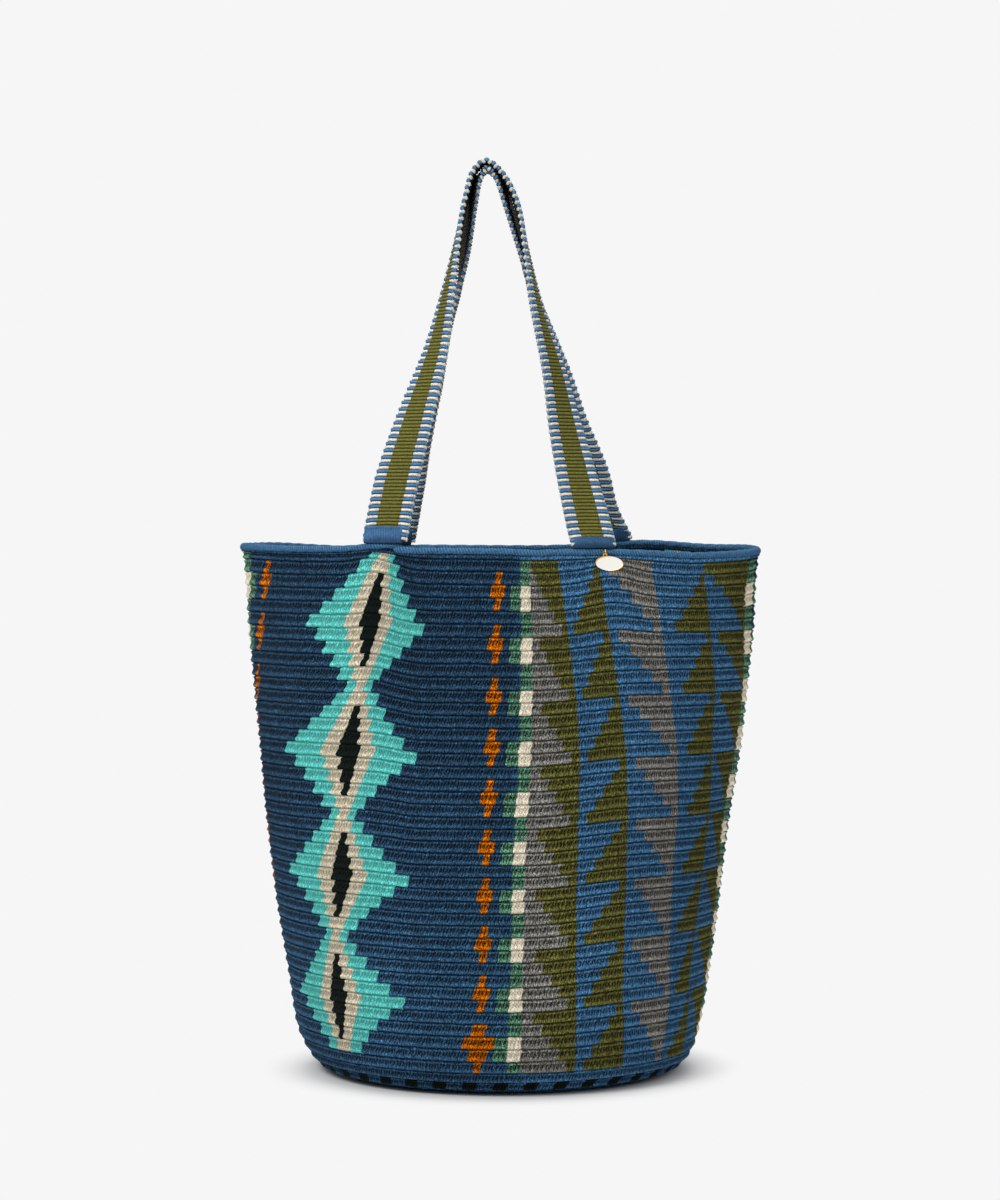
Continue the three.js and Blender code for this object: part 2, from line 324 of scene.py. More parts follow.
def makeStage():
    scene.view_settings.view_transform = "Standard"
    world = bpy.data.worlds.new("studio")
    scene.world = world
    world.use_nodes = True
    nodes, links = world.node_tree.nodes, world.node_tree.links
    plain, backdrop = nodes["Background"], nodes.new("ShaderNodeBackground")
    plain.inputs["Color"].default_value = (1, 1, 1, 1)
    plain.inputs["Strength"].default_value = light["ambient"]
    backdrop.inputs["Color"].default_value = yarn(light["paper"])
    backdrop.inputs["Strength"].default_value = 1.0
    choice = nodes.new("ShaderNodeMixShader")
    seen = seenRays(world.node_tree)
    links.new(seen.outputs[0], choice.inputs[0])
    links.new(plain.outputs[0], choice.inputs[1])
    links.new(backdrop.outputs[0], choice.inputs[2])
    links.new(choice.outputs[0], nodes["World Output"].inputs[0])

    reach = light["floorReach"]
    corners = [(-reach, -reach, 0), (reach, -reach, 0), (reach, reach, 0), (-reach, reach, 0)]
    mesh = bpy.data.meshes.new("floor")
    mesh.from_pydata(corners, [], [(0, 1, 2, 3)])
    floor = bpy.data.objects.new("floor", mesh)
    floor.location.z = -light["floorGap"] * mm
    scene.collection.objects.link(floor)
    matt = {"Roughness": 1.0, "Specular IOR Level": 0.0, "Base Color": (light["floor"],) * 3 + (1,)}
    paint = Paint("paperFloor", matt)
    away = paint.node("ShaderNodeVectorMath", {"operation": "LENGTH"}, {0: paint.place()}, 1)
    fade = paint.ramp(away, *light["floorFade"])  # away from the bag the floor is plain paper
    plainPaper = paint.node("ShaderNodeEmission", {}, {"Color": yarn(light["paper"]), "Strength": 1.0})
    seen = Signal(paint, seenRays(paint.tree).outputs[0])
    lit = Signal(paint, paint.shader.outputs[0])
    both = paint.node("ShaderNodeMixShader", {}, {0: fade * seen, 1: lit, 2: plainPaper})
    paint.tree.links.new(both.socket, paint.tree.nodes["Material Output"].inputs[0])
    mesh.materials.append(paint.material)

    for name, place, size, watts in light["lamps"]:
        lamp = bpy.data.lights.new(name, "AREA")
        lamp.shape = "SQUARE"
        lamp.size = size * mm
        lamp.energy = watts
        made = bpy.data.objects.new(name, lamp)
        made.location = Vector(place) * mm
        made.rotation_euler = (Vector(light["aim"]) * mm - made.location).to_track_quat("-Z", "Y").to_euler()
        scene.collection.objects.link(made)


makeCamera()
makeStage()
print("stage: camera, paper and lamps")

# the crocheted body

bag = {
    "baseRadius": 100.0, "bellyHeight": 48.0, "bellyRadius": 129.2,
    "mouthHalfWidth": 160.3, "mouthHalfDepth": 66.0, "wallHeight": 317.5, "wallThickness": 3.2,
    "flattening": 1.2, "mouthTilt": 1.5,
    "columns": 232, "firstRow": 0.35, "lastWallRow": 45.0, "lastRow": 58.0,
    # how far down the side view each row lies, from the top edge
    "rowMarks": [0.35, 0.72, 1.72, 10.72, 20.72, 30.72, 38.72, 41.72, 43.72, 45.0, 58.0],
    "rowDepths": [-2.2, -0.2, 6.9, 77.6, 152.0, 222.1, 279.9, 304.4, 319.6, 332.6, 432.6],
    # one row's relief: a groove, a thin proud line, the hollow band, the thick ridge
    "reliefAt": [0.0, 0.09, 0.2, 0.36, 0.54, 0.74, 0.9],
    "relief": [-1.5, -0.3, -0.65, -1.05, -0.5, 0.3, -0.3],
    "unevenness": 0.9, "sideFullness": 2.4, "lowShift": -1.25,
    "chart": (240.0, 60.0),  # stitches and rows over the whole map
    # where along the width the rim is drawn up or sags, how widely and how far
    "frontRim": [(-75, 17, 2.0), (118, 26, -1.6), (20, 12, -0.8), (-158, 18, 1.0), (160, 12, 0.9)],
    "backRim": [(92, 40, 4.4), (-145, 20, 1.1), (-92, 24, -1.2), (158, 26, 2.2)],
}

# Where the pattern's upright lines stand: stitches counted from the green and cream column, and
# the angle of each line at the rows named first. The back is spread evenly between the last and
# the first line.
pattern = {
    "around": 234, "repeat": 117.0, "centre": 62.0, "eyeAt": 32.0, "crossesAt": (57.5, 6.5), "dashes": 39,
    # row and half width of the larger cross at the foot
    "footCross": [(38.0, 1.1), (39.0, 2.5), (40.0, 1.5), (41.0, 0.6)],
    # first stitch and width of the five columns of triangles
    "triangles": [(64.0, 8.0), (72.0, 9.0), (81.0, 12.0), (93.0, 12.0), (105.0, 12.0)],
    "rows": [1.5, 6.5, 11.5, 16.5, 21.5, 26.5, 31.5, 36.5, 41.5],
    "lines": [
        (-62.0, [-85.5, -90.0, -97.0, -100.0, -101.0, -102.0, -105.0, -108.0, -111.0]),
        (-60.0, [-74.5, -82.0, -91.0, -95.5, -96.5, -97.5, -100.5, -103.5, -106.5]),
        (-58.0, [-69.6, -75.5, -83.5, -90.5, -89.5, -90.5, -94.0, -97.5, -100.5]),
        (-55.5, [-62.3, -68.8, -78.0, -86.0, -83.2, -84.2, -88.2, -92.0, -95.0]),
        (-42.5, [-44.5, -48.2, -54.8, -61.6, -63.3, -64.8, -65.8, -66.8, -69.4]),
        (-30.0, [-25.7, -29.8, -33.8, -37.9, -40.4, -41.8, -45.6, -47.6, -48.5]),
        (-17.5, [-15.2, -17.4, -18.8, -20.2, -21.3, -22.4, -23.9, -25.3, -26.7]),
        (-4.5, [-0.3, -0.9, -1.5, -2.2, -2.7, -3.2, -3.8, -4.5, -6.4]),
        (2.0, [6.3, 7.0, 7.2, 7.1, 6.8, 6.3, 6.3, 6.0, 5.8]),
        (10.0, [12.5, 14.9, 17.3, 18.9, 19.5, 19.7, 19.9, 20.6, 21.4]),
        (19.0, [21.5, 24.2, 27.7, 30.8, 32.9, 33.3, 33.5, 34.5, 37.1]),
        (31.0, [34.9, 38.2, 42.1, 46.1, 48.6, 48.9, 49.8, 52.6, 52.8]),
        (43.0, [50.6, 54.1, 58.7, 59.9, 62.7, 62.8, 62.6, 63.0, 66.4]),
        (55.0, [72.6, 72.4, 76.0, 75.2, 73.7, 75.2, 77.2, 78.2, 78.7]),
        (57.0, [81.2, 81.0, 83.0, 82.4, 81.5, 82.4, 84.0, 85.0, 85.5]),
        (59.0, [88.0, 88.0, 89.0, 88.5, 88.0, 88.5, 89.5, 90.5, 91.0]),
    ],
}


def makeSideView():
    slope = (bag["mouthHalfWidth"] - bag["bellyRadius"]) / (bag["wallHeight"] - bag["bellyHeight"])
    share = np.linspace(0, 1, 161)[:, None]
    ends = [
        np.array([bag["baseRadius"], 0.0]),
        np.array([bag["bellyRadius"] - slope * bag["bellyHeight"], 0.0]),
        np.array([bag["bellyRadius"], bag["bellyHeight"]]),
    ]
    corner = (1 - share) ** 2 * ends[0] + 2 * share * (1 - share) * ends[1] + share**2 * ends[2]
    top = np.array([bag["mouthHalfWidth"], bag["wallHeight"]])
    wall = ends[2] + np.linspace(0, 1, 161)[1:, None] * (top - ends[2])
    over = top + (top - ends[2]) * 0.03
    points = np.vstack([[0.0, 0.0], corner, wall, over])[::-1]
    steps = np.hypot(*np.diff(points, axis=0).T)
    depth = np.concatenate([[0.0], np.cumsum(steps)]) - steps[0]
    return depth, points


sideDepth, sidePoints = makeSideView()


def sideAt(depth):
    # radius, height and outward direction of the side view, a way down from the top edge
    radius = np.interp(depth, sideDepth, sidePoints[:, 0])
    height = np.interp(depth, sideDepth, sidePoints[:, 1])
    ahead, behind = depth - 0.5, depth + 0.5
    rise = np.interp(ahead, sideDepth, sidePoints[:, 1]) - np.interp(behind, sideDepth, sidePoints[:, 1])
    run = np.interp(ahead, sideDepth, sidePoints[:, 0]) - np.interp(behind, sideDepth, sidePoints[:, 0])
    length = np.hypot(rise, run) + 1e-9
    return radius, height, rise / length, -run / length


def depthShare(height):
    climb = np.clip((height - bag["bellyHeight"]) / (bag["wallHeight"] - bag["bellyHeight"]), 0, None)
    return 1 - (1 - bag["mouthHalfDepth"] / bag["mouthHalfWidth"]) * climb ** bag["flattening"]


def frontShare(turned):
    return 0.5 + 0.5 * np.clip(np.cos(turned) * 4, -1, 1)


def rimShift(x, turned):
    # the edge is drawn up at the straps and sags beside the tag
    front, back = (sum(lift * swell(x, at, width) for at, width, lift in bag[side]) for side in ("frontRim", "backRim"))
    ahead = frontShare(turned)
    return front * ahead + back * (1 - ahead) - bag["mouthTilt"] * x / bag["mouthHalfWidth"]


def rowShift(x, height, turned):
    # the rows are drawn up under the front straps and climb to the right
    left = 4.5 * ease(-x, 45, 80) * np.interp(height, [60, 150, 230], [0, 0.55, 1])
    left = left + swell(x, -76, 12) * ease(height, 200, 240)
    foot = 4.8 * swell(x, 67, 17) * np.interp(height, [240, 300], [0, 1])
    climb = 4.6 * ease(x, 15, 85) * np.interp(height, [10, 55, 100, 230, 280, 311], [0, 0.65, 1, 1, 0.6, 0])
    hidden = 3.0 * (height / bag["wallHeight"]) * ease(np.abs(x), 60, 100)
    ahead = frontShare(turned)
    shift = (left + foot + climb) * ahead + hidden * (1 - ahead)
    return shift * (1 - ease(height, 309, 319.5))


def undulation(turned, height):
    # broad soft dents of the standing cloth
    wave = 0.55 * np.sin(2.0 * turned + 0.021 * height + 0.7)
    wave = wave + 0.45 * np.sin(5.0 * turned - 0.034 * height + 2.1)
    wave = wave + 0.3 * np.sin(9.0 * turned + 0.05 * height + 4.0)
    return wave * bag["unevenness"] * ease(height, 4, 60) * (1 - ease(height, 280, 318))


def bodyRing(depth, sunk, angles):
    radius, height, outR, outZ = sideAt(depth)
    level = np.maximum(height + sunk * outZ, 0.0)
    wide = radius + sunk * outR
    deep = radius * depthShare(height) + sunk * outR
    puff = undulation(angles, height) * outR
    x = (wide + puff) * np.sin(angles)
    y = -(deep + puff) * np.cos(angles)
    lift = rowShift(x, height, angles) * min(1.0, height / 20.0)
    nearRim = ease(height, 250, 316) ** 1.5
    tilt = bag["mouthTilt"] * x / bag["mouthHalfWidth"] * (height / bag["wallHeight"]) ** 2
    lift = lift + rimShift(x, angles) * nearRim - tilt * (1 - nearRim)
    x = x + bag["lowShift"] * ease(height, 8, 30) * (1 - ease(height, 150, 205))
    x = x + bag["sideFullness"] * ease(height, 35, 110) * (1 - ease(height, 262, 312)) * np.sin(angles) ** 3
    return np.stack([x, y, level + lift], 1)


def stitchesAt(row, angles):
    # the stitch number at each angle, on a row
    turned = [np.interp(row, pattern["rows"], line[1]) for line in pattern["lines"]]
    numbers = [line[0] for line in pattern["lines"]]
    around = pattern["around"]
    turned = [turned[-1] - 360.0] + turned + [turned[0] + 360.0]
    numbers = [numbers[-1] - around] + numbers + [numbers[0] + around]
    return np.interp(np.degrees(angles), turned, numbers)


yarns = {
    "navy": "#274661", "blue": "#44749D", "turquoise": "#65D7CF", "sand": "#E1D5BA", "black": "#0D1814",
    "orange": "#CC6A00", "cream": "#FAEED5", "green": "#598A70", "grey": "#85837E", "olive": "#626130",
    # from the row's top to its foot, painted shade in the groove and the hollow and painted highlight on the thin line
    # and the ridge; the levels are parts of rowLevelTop
    "rowPaintedShade": [
        (0.0, 0.16), (0.05, 0.32), (0.10, 0.80), (0.165, 0.86), (0.23, 0.45), (0.32, 0.29), (0.50, 0.32),
        (0.59, 0.49), (0.68, 0.83), (0.78, 0.96), (0.87, 0.76), (0.94, 0.37), (1.0, 0.16)],
    "rowLevelTop": 1.45,
    "strandShare": [
        (0.0, 0.2), (0.1, 0.3), (0.18, 0.4), (0.28, 1.0), (0.52, 1.0), (0.64, 0.35), (0.85, 0.3), (1.0, 0.2)],
    "strandsAStitch": 1.8,
}


def crochetPaint():
    paint = Paint("crochetYarn", {"Roughness": 0.92, "Specular IOR Level": 0.06, "Sheen Weight": 0.015})
    place = paint.place()
    chart = paint.mapped("stitchMap")
    wide, tall = bag["chart"]
    stitch, row = chart * wide - wide / 2, chart.other(1) * tall
    slip = paint.noise(place, 160.0, 1.0) + paint.noise(place, 620.0, 1.0) * 0.7 - 0.85
    row = row + slip * 0.14
    stitch = stitch + (paint.noise(place, 210.0, 1.0) - 0.5) * 0.55
    line, down = row.whole(), row.part()
    across = stitch + (down - 0.5) * 0.35
    column = (across + pattern["centre"]) % pattern["repeat"]
    worked = line.within(0.5, 41.5)

    # eyes: lozenges ten rows long
    step = 5.0 - abs((line - 1.0) % 10.0 - 5.0)
    fromEye = abs(column - pattern["eyeAt"])
    eyeRows = line.within(0.5, 40.5)
    aqua = (fromEye < step * 1.5 + step * step * 0.1 + 2.5) * eyeRows
    sand = (fromEye < step * 0.8 + 0.9) * eyeRows
    black = (fromEye < step * 0.45 - 0.27) * (step > 1.5) * eyeRows

    # crosses, four rows apart, with a larger one at the foot
    fromFirst, fromSecond = (abs(column - spot) for spot in pattern["crossesAt"])
    fromCross = fromFirst.least(fromSecond)
    arm = (line - 2.0) % 4.0
    halfArm = (arm < 2.5) * 0.58 + (abs(arm - 1.0) < 0.5) * 0.72
    halfArm = halfArm * line.within(1.5, 36.5)
    for footRow, half in pattern["footCross"]:
        halfArm = halfArm + (abs(line - footRow) < 0.5) * half
    orange = fromCross < halfArm

    # the green and cream columns
    pale = ((line - 1.0) % 4.0) > 1.5
    post = (column.within(62.0, 64.0) + column.within(0.0, 2.0)) * worked
    side = (column.within(60.0, 62.0) + column.within(2.0, 4.0)) * worked
    cream = post * pale
    green = post * (1.0 - pale) + side * pale

    # five columns of stepped triangles
    tier = (line - 2.0) % 5.0 - (line < 1.5) * 5.0
    shares = [(column - start) / wide for start, wide in pattern["triangles"]]
    first, second, third, fourth, fifth = shares
    inFirst, inSecond, inThird, inFourth, inFifth = (share.within(0, 1) for share in shares)
    greyFirst = inFirst * (first < tier * 0.155 + 0.21)
    oliveSecond = inSecond * (second > 0.84 - tier * 0.17)
    greyThird = inThird * (third > tier * 0.17 + 0.16)
    oliveFourth = inFourth * (fourth > 0.89 - tier * 0.155)
    blueFifth = inFifth * (fifth < tier * 0.175 + 0.18)
    grey = (greyFirst + greyThird) * worked
    olive = (inFirst - greyFirst + oliveSecond + oliveFourth + inFifth - blueFifth) * worked

    # dashes near the floor, spaced by angle
    spot = paint.node("ShaderNodeSeparateXYZ", {}, {0: place})
    angle = spot.calc("ARCTAN2", -spot.other(1)) * (180 / math.pi)
    dash = (((angle + 10.9 + down * 1.2) / (360 / pattern["dashes"])).part() < 0.45) * (abs(line - 43.0) < 0.5)

    # the ground is bluer from the green and cream column to the right, and towards the foot; the lighter blue right of
    # the column is painted light, standing in for a more brightly lit right side
    right = paint.ramp(column, 60.0, 66.0)
    low = paint.node("ShaderNodeMapRange", {}, {0: row, 1: 18.0, 2: 43.0})
    right = right.most(low * 0.5)
    colour = paint.mix(right, yarn(yarns["navy"]), yarn(yarns["blue"]))
    for mask, name in (
        (aqua, "turquoise"), (sand, "sand"), (black, "black"), (orange, "orange"), (cream, "cream"),
        (green, "green"), (grey, "grey"), (olive, "olive"), (dash, "black"),
    ):
        colour = paint.mix(mask, colour, yarn(yarns[name]))

    # painted light and shade within a row: painted shade in the groove, painted highlight on the thin proud line,
    # painted shade in the dark hollow with slanted strands, painted highlight on the thick ridge
    paintedRowShade = paint.node("ShaderNodeValToRGB", {"stops": yarns["rowPaintedShade"]}, {0: down})
    deep = paint.node("ShaderNodeValToRGB", {"stops": yarns["strandShare"]}, {0: down})
    wobble = paint.noise(place, 420.0, 1.0) - 0.5
    strand = ((stitch * yarns["strandsAStitch"] + down * 1.15 + wobble * 0.9) * (2 * math.pi)).wave()
    fine = ((stitch * yarns["strandsAStitch"] * 2.0 - down * 2.2 + wobble) * (2 * math.pi)).wave()
    fuzz = paint.noise(place, 680.0, 2.0, 0.75)
    fleck = paint.noise(place, 1500.0, 1.0, 0.6)
    patch = paint.noise(place, 11.0, 1.0)
    drawn = paint.node("ShaderNodeCombineXYZ", {}, {0: stitch * 0.12, 1: row * 0.9})
    rowTone = paint.noise(drawn, 1.0, 1.0)
    level = paintedRowShade * yarns["rowLevelTop"] * (strand * deep * 0.75 + fine * 0.34 + 1.0)
    level = level * ((fuzz - 0.5) * 3.3 + 1.0) * ((fleck - 0.5) * 2.8 + 1.0)
    level = level * ((patch - 0.5) * 0.5 + 1.0) * ((rowTone - 0.5) * 0.5 + 1.0)
    level = level.calc("POWER", (1.0 - right.most(aqua)) * 0.12 + 1.0)
    pale = (aqua * 0.5).most(cream * 0.7)  # pale yarn lets light into its hollows
    level = level * (1.0 - pale) + pale * 1.05
    relief = strand * deep * 0.3 + fine * 0.14 + fuzz * 0.45 + fleck * 0.14
    return paint.finish(paint.shaded(colour, level.most(0.03)), relief, 1.8)


def crochetBody():
    angles = -np.pi + 2 * np.pi * np.arange(bag["columns"]) / bag["columns"]
    seamed = np.append(angles, np.pi)
    rows, sinks = [], []
    at, relief = bag["reliefAt"], bag["relief"]
    for line in range(0, int(bag["lastRow"])):
        for place, sunk in zip(at, relief):
            row = line + place
            onBase = row > bag["lastWallRow"]
            if row < bag["firstRow"] or (onBase and place in (0.09, 0.36, 0.9)):
                continue
            rows.append(row)
            sinks.append(min(sunk, 0.0) * 0.7 if onBase else sunk)
    outer = []
    for row, sunk in zip(rows, sinks):
        depth = np.interp(row, bag["rowMarks"], bag["rowDepths"])
        outer.append(bodyRing(depth, sunk, angles))
    innerRows = list(np.arange(0.5, 9.0, 0.25)) + list(np.arange(9.5, 45.0, 2.0)) + [46.0, 50.0, 54.0, 57.5]
    inner = []
    for row in innerRows:
        depth = np.interp(row, bag["rowMarks"], bag["rowDepths"])
        wave = 0.35 * math.sin(2 * math.pi * (row - 0.4)) if row < 9 else 0.0
        inner.append(bodyRing(depth, -bag["wallThickness"] - wave, angles))
    order = [outer[i] for i in range(len(outer) - 1, -1, -1)]
    chartRows = rows[::-1] + innerRows
    rings = np.array(order + inner)
    chart = []
    wide, tall = bag["chart"]
    for row in chartRows:
        numbers = stitchesAt(row, seamed)
        chart.append(np.stack([(numbers + wide / 2) / wide, np.full(len(seamed), row / tall)], 1))
    body = ringMesh("crochetBag", rings, np.array(chart))
    body.data.materials.append(crochetPaint())
    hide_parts("crochet_body")
    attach(body, "bag")
    return body


crochetBody()
print("crocheted body: rows, pattern and yarn")

# the rolled edging

edge = {
    "top": 322.6, "diameter": 3.9, "tipDiameter": 5.0, "startAt": -24.0, "overlap": 2.6,
    "segments": 420, "sides": 14, "plies": 3, "plyPitch": 9.0, "plyDepth": 0.16,
    "colour": "#4977A0", "strokes": 520.0,
}


def edgePath(angle):
    halfWidth = bag["mouthHalfWidth"] - bag["wallThickness"] / 2
    halfDepth = bag["mouthHalfDepth"] - bag["wallThickness"] / 2
    x, y = halfWidth * math.sin(angle), -halfDepth * math.cos(angle)
    out = Vector((x / halfWidth**2, y / halfDepth**2, 0)).normalized()
    return Vector((x, y, edge["top"] + float(rimShift(x, angle)))), out


def cordPaint():
    paint = Paint("edgeCord", {"Roughness": 0.9, "Specular IOR Level": 0.06, "Sheen Weight": 0.015})
    place = paint.place()
    chart = paint.mapped("stitchMap")
    strand = ((chart * edge["strokes"] + chart.other(1) * 2.0).part() * (2 * math.pi)).wave()
    fuzz = paint.noise(place, 900.0, 2.0, 0.7)
    patch = paint.noise(place, 14.0, 1.0)
    level = (strand * 0.24 + 0.9) * ((fuzz - 0.5) * 1.8 + 1.0) * ((patch - 0.5) * 0.35 + 1.0)
    colour = paint.shaded(yarn(edge["colour"]), level)
    return paint.finish(colour, strand * 0.2 + fuzz * 0.45, 1.4)


def rolledEdge():
    rings, chart = [], []
    start = math.radians(edge["startAt"])
    whole = 2 * math.pi + math.radians(edge["overlap"])
    count = edge["segments"]
    for i in range(count + 1):
        share = i / count
        angle = start + whole * share
        middle, out = edgePath(angle)
        girth = edge["diameter"] + (edge["tipDiameter"] - edge["diameter"]) * abs(math.sin(angle)) ** 8
        tucked = float(ease(share, 0.972, 0.997))
        begun = 1 - float(ease(share, 0.0, 0.03))
        size = girth * (1 + 0.12 * begun) * (1 - 0.2 * tucked)
        end = min(share, 1 - share) * whole * 150.0
        if end < size / 2:
            size = size * math.sqrt(max(0.02, 1 - (1 - end / (size / 2)) ** 2))
        middle = middle + out * (0.7 * begun - 1.6 * tucked)
        middle.z += -girth / 2 + 1.0 * tucked - 0.8 * begun
        length = share * whole * 118.0
        ring, row = [], []
        for k in range(edge["sides"] + 1):
            around = 2 * math.pi * k / edge["sides"]
            ply = math.cos(edge["plies"] * around - 2 * math.pi * length / edge["plyPitch"])
            reach = size / 2 + edge["plyDepth"] * ply * (1 if size > 3 else 0)
            if k < edge["sides"]:
                above = Vector((0, 0, reach * math.sin(around)))
                ring.append(middle + out * (reach * math.cos(around)) + above)
            row.append((share, k / edge["sides"]))
        rings.append(ring)
        chart.append(row)
    made = ringMesh("rolledEdge", rings, chart)
    made.data.materials.append(cordPaint())
    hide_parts("rim_edging")
    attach(made, "bag")


rolledEdge()
print("rolled edging")

# threads and loops are laid on points by a node tree


def turnOf(across, along, face):
    basis = Matrix((across, face, along)).transposed()
    return tuple(basis.to_euler())


def threadTree(name, material, segments, rings):
    # one rounded thread at each point, turned and stretched by the points' own attributes
    tree = bpy.data.node_groups.new(name, "GeometryNodeTree")
    tree.interface.new_socket("Geometry", in_out="INPUT", socket_type="NodeSocketGeometry")
    tree.interface.new_socket("Geometry", in_out="OUTPUT", socket_type="NodeSocketGeometry")
    radius = tree.interface.new_socket("Thread radius", in_out="INPUT", socket_type="NodeSocketFloat")
    uneven = tree.interface.new_socket("Unevenness", in_out="INPUT", socket_type="NodeSocketFloat")
    seed = tree.interface.new_socket("Seed", in_out="INPUT", socket_type="NodeSocketInt")
    nodes, links = tree.nodes, tree.links
    start, end = nodes.new("NodeGroupInput"), nodes.new("NodeGroupOutput")
    thread = nodes.new("GeometryNodeMeshUVSphere")
    thread.inputs["Segments"].default_value = segments
    thread.inputs["Rings"].default_value = rings
    links.new(start.outputs["Thread radius"], thread.inputs["Radius"])
    turn, stretch = nodes.new("GeometryNodeInputNamedAttribute"), nodes.new("GeometryNodeInputNamedAttribute")
    turn.data_type = stretch.data_type = "FLOAT_VECTOR"
    turn.inputs["Name"].default_value = "turn"
    stretch.inputs["Name"].default_value = "stretch"
    vary = nodes.new("FunctionNodeRandomValue")
    vary.data_type = "FLOAT"
    links.new(start.outputs["Seed"], vary.inputs["Seed"])
    least = nodes.new("ShaderNodeMath")
    least.operation = "SUBTRACT"
    least.inputs[0].default_value = 1.0
    links.new(start.outputs["Unevenness"], least.inputs[1])
    links.new(least.outputs[0], vary.inputs[2])
    vary.inputs[3].default_value = 1.0
    sized = nodes.new("ShaderNodeVectorMath")
    sized.operation = "SCALE"
    links.new(stretch.outputs["Attribute"], sized.inputs[0])
    links.new(vary.outputs[1], sized.inputs["Scale"])
    lay = nodes.new("GeometryNodeInstanceOnPoints")
    links.new(start.outputs["Geometry"], lay.inputs["Points"])
    links.new(thread.outputs["Mesh"], lay.inputs["Instance"])
    links.new(turn.outputs["Attribute"], lay.inputs["Rotation"])
    links.new(sized.outputs[0], lay.inputs["Scale"])
    real, dress = nodes.new("GeometryNodeRealizeInstances"), nodes.new("GeometryNodeSetMaterial")
    smooth = nodes.new("GeometryNodeSetShadeSmooth")
    dress.inputs["Material"].default_value = material
    links.new(lay.outputs["Instances"], real.inputs[0])
    links.new(real.outputs[0], smooth.inputs[0])
    links.new(smooth.outputs[0], dress.inputs["Geometry"])
    links.new(dress.outputs[0], end.inputs[0])
    return tree, (radius.identifier, uneven.identifier, seed.identifier)


def layThreads(name, spots, tree, keys, values):
    # spots: point, Euler turn, stretch and tone of each thread; the result is a plain mesh
    mesh = bpy.data.meshes.new(name + "Spots")
    mesh.from_pydata([tuple(Vector(s[0]) * mm) for s in spots], [], [])
    for label, index in (("turn", 1), ("stretch", 2)):
        layer = mesh.attributes.new(label, "FLOAT_VECTOR", "POINT")
        layer.data.foreach_set("vector", np.array([s[index] for s in spots], dtype=np.float32).ravel())
    mesh.attributes.new("tone", "FLOAT", "POINT").data.foreach_set("value", [s[3] for s in spots])
    carrier = bpy.data.objects.new(name + "Spots", mesh)
    scene.collection.objects.link(carrier)
    modifier = carrier.modifiers.new("threads", "NODES")
    modifier.node_group = tree
    for key, value in zip(keys, values):
        modifier[key] = value
    bpy.context.view_layer.update()
    graph = bpy.context.evaluated_depsgraph_get()
    laid = carrier.evaluated_get(graph)
    plain = bpy.data.meshes.new_from_object(laid, preserve_all_data_layers=True, depsgraph=graph)
    bpy.data.objects.remove(carrier)
    plain.name = name
    made = bpy.data.objects.new(name, plain)
    scene.collection.objects.link(made)
    return made


# the two woven straps

strapSize = {
    "width": 27.0, "thickness": 3.6, "rise": 237.2, "rib": 2.25, "ribDepth": 0.62, "barDepth": 0.85,
    "oliveHalf": 6.9, "gap": 0.3, "bindingBase": 1.2, "samples": 8, "bow": 1.4,
    "olive": "#696730", "white": "#DAD1C1", "blue": "#4878A4", "loopThread": "#5080AB",
    # the loops along both edges: half sizes across, along and through the band, and their places
    "loopBlue": (0.95, 1.05, 1.5), "loopWhite": (1.05, 1.2, 1.5), "bandWide": 26.4,
    "loopOut": (13.25, 13.05), "loopFace": (0.4, -0.35),
    "chart": (40.0, 300.0),  # millimetres across and ribs along the whole map
}

straps = {
    "front": {
        "side": -1, "crownAt": -9.0, "crownDrop": 0.0,
        "left": {"footAt": -69.8, "twist": (0.16, 0.88), "route": [
            (0.16, 0.88), (0.313, 0.717), (0.5, 0.5), (0.633, 0.395), (0.76, 0.304), (0.9, 0.205), (0.975, 0.12)]},
        "right": {"footAt": 56.3, "twist": (0.05, 0.85), "route": [
            (0.184, 0.842), (0.313, 0.737), (0.446, 0.642), (0.633, 0.467), (0.76, 0.38), (0.9, 0.28), (0.975, 0.13)]},
    },
    "back": {
        "side": 1, "crownAt": -8.0, "crownDrop": 4.2,
        "left": {"footAt": -68.0, "twist": (0.16, 0.62), "lean": 11.5, "leanFrom": 0.655, "route": [
            (0.248, 0.81), (0.45, 0.55), (0.55, 0.445), (0.648, 0.335), (0.778, 0.2), (0.9, 0.125), (0.97, 0.07)]},
        "right": {"footAt": 70.5, "twist": (0.05, 0.72), "turnEase": 1.1, "lean": 9.5, "route": [
            (0.083, 0.882), (0.191, 0.811), (0.326, 0.669), (0.461, 0.567), (0.787, 0.247), (0.9, 0.14), (0.97, 0.07)]},
    },
}

rollHalfWidth = bag["mouthHalfWidth"] - bag["wallThickness"] / 2
rollHalfDepth = bag["mouthHalfDepth"] - bag["wallThickness"] / 2


def footOf(strap, leg):
    x = leg["footAt"]
    y = strap["side"] * rollHalfDepth * math.sqrt(1 - (x / rollHalfWidth) ** 2)
    turned = math.atan2(x / rollHalfWidth, -y / rollHalfDepth)
    lift = float(rimShift(x, turned))
    return Vector((x, y, edge["top"] + lift + 2 * strapSize["gap"] + strapSize["bindingBase"]))


def crownOf(strap):
    return Vector((strap["crownAt"], 0.0, edge["top"] + strapSize["rise"] - strap["crownDrop"]))


def legPoints(strap, leg):
    foot, crown = footOf(strap, leg), crownOf(strap)
    points = [foot]
    for climbed, left in leg["route"]:
        x = crown.x + (foot.x - crown.x) * left
        points.append(Vector((x, foot.y * (1 - climbed), foot.z + (crown.z - foot.z) * climbed)))
    return points


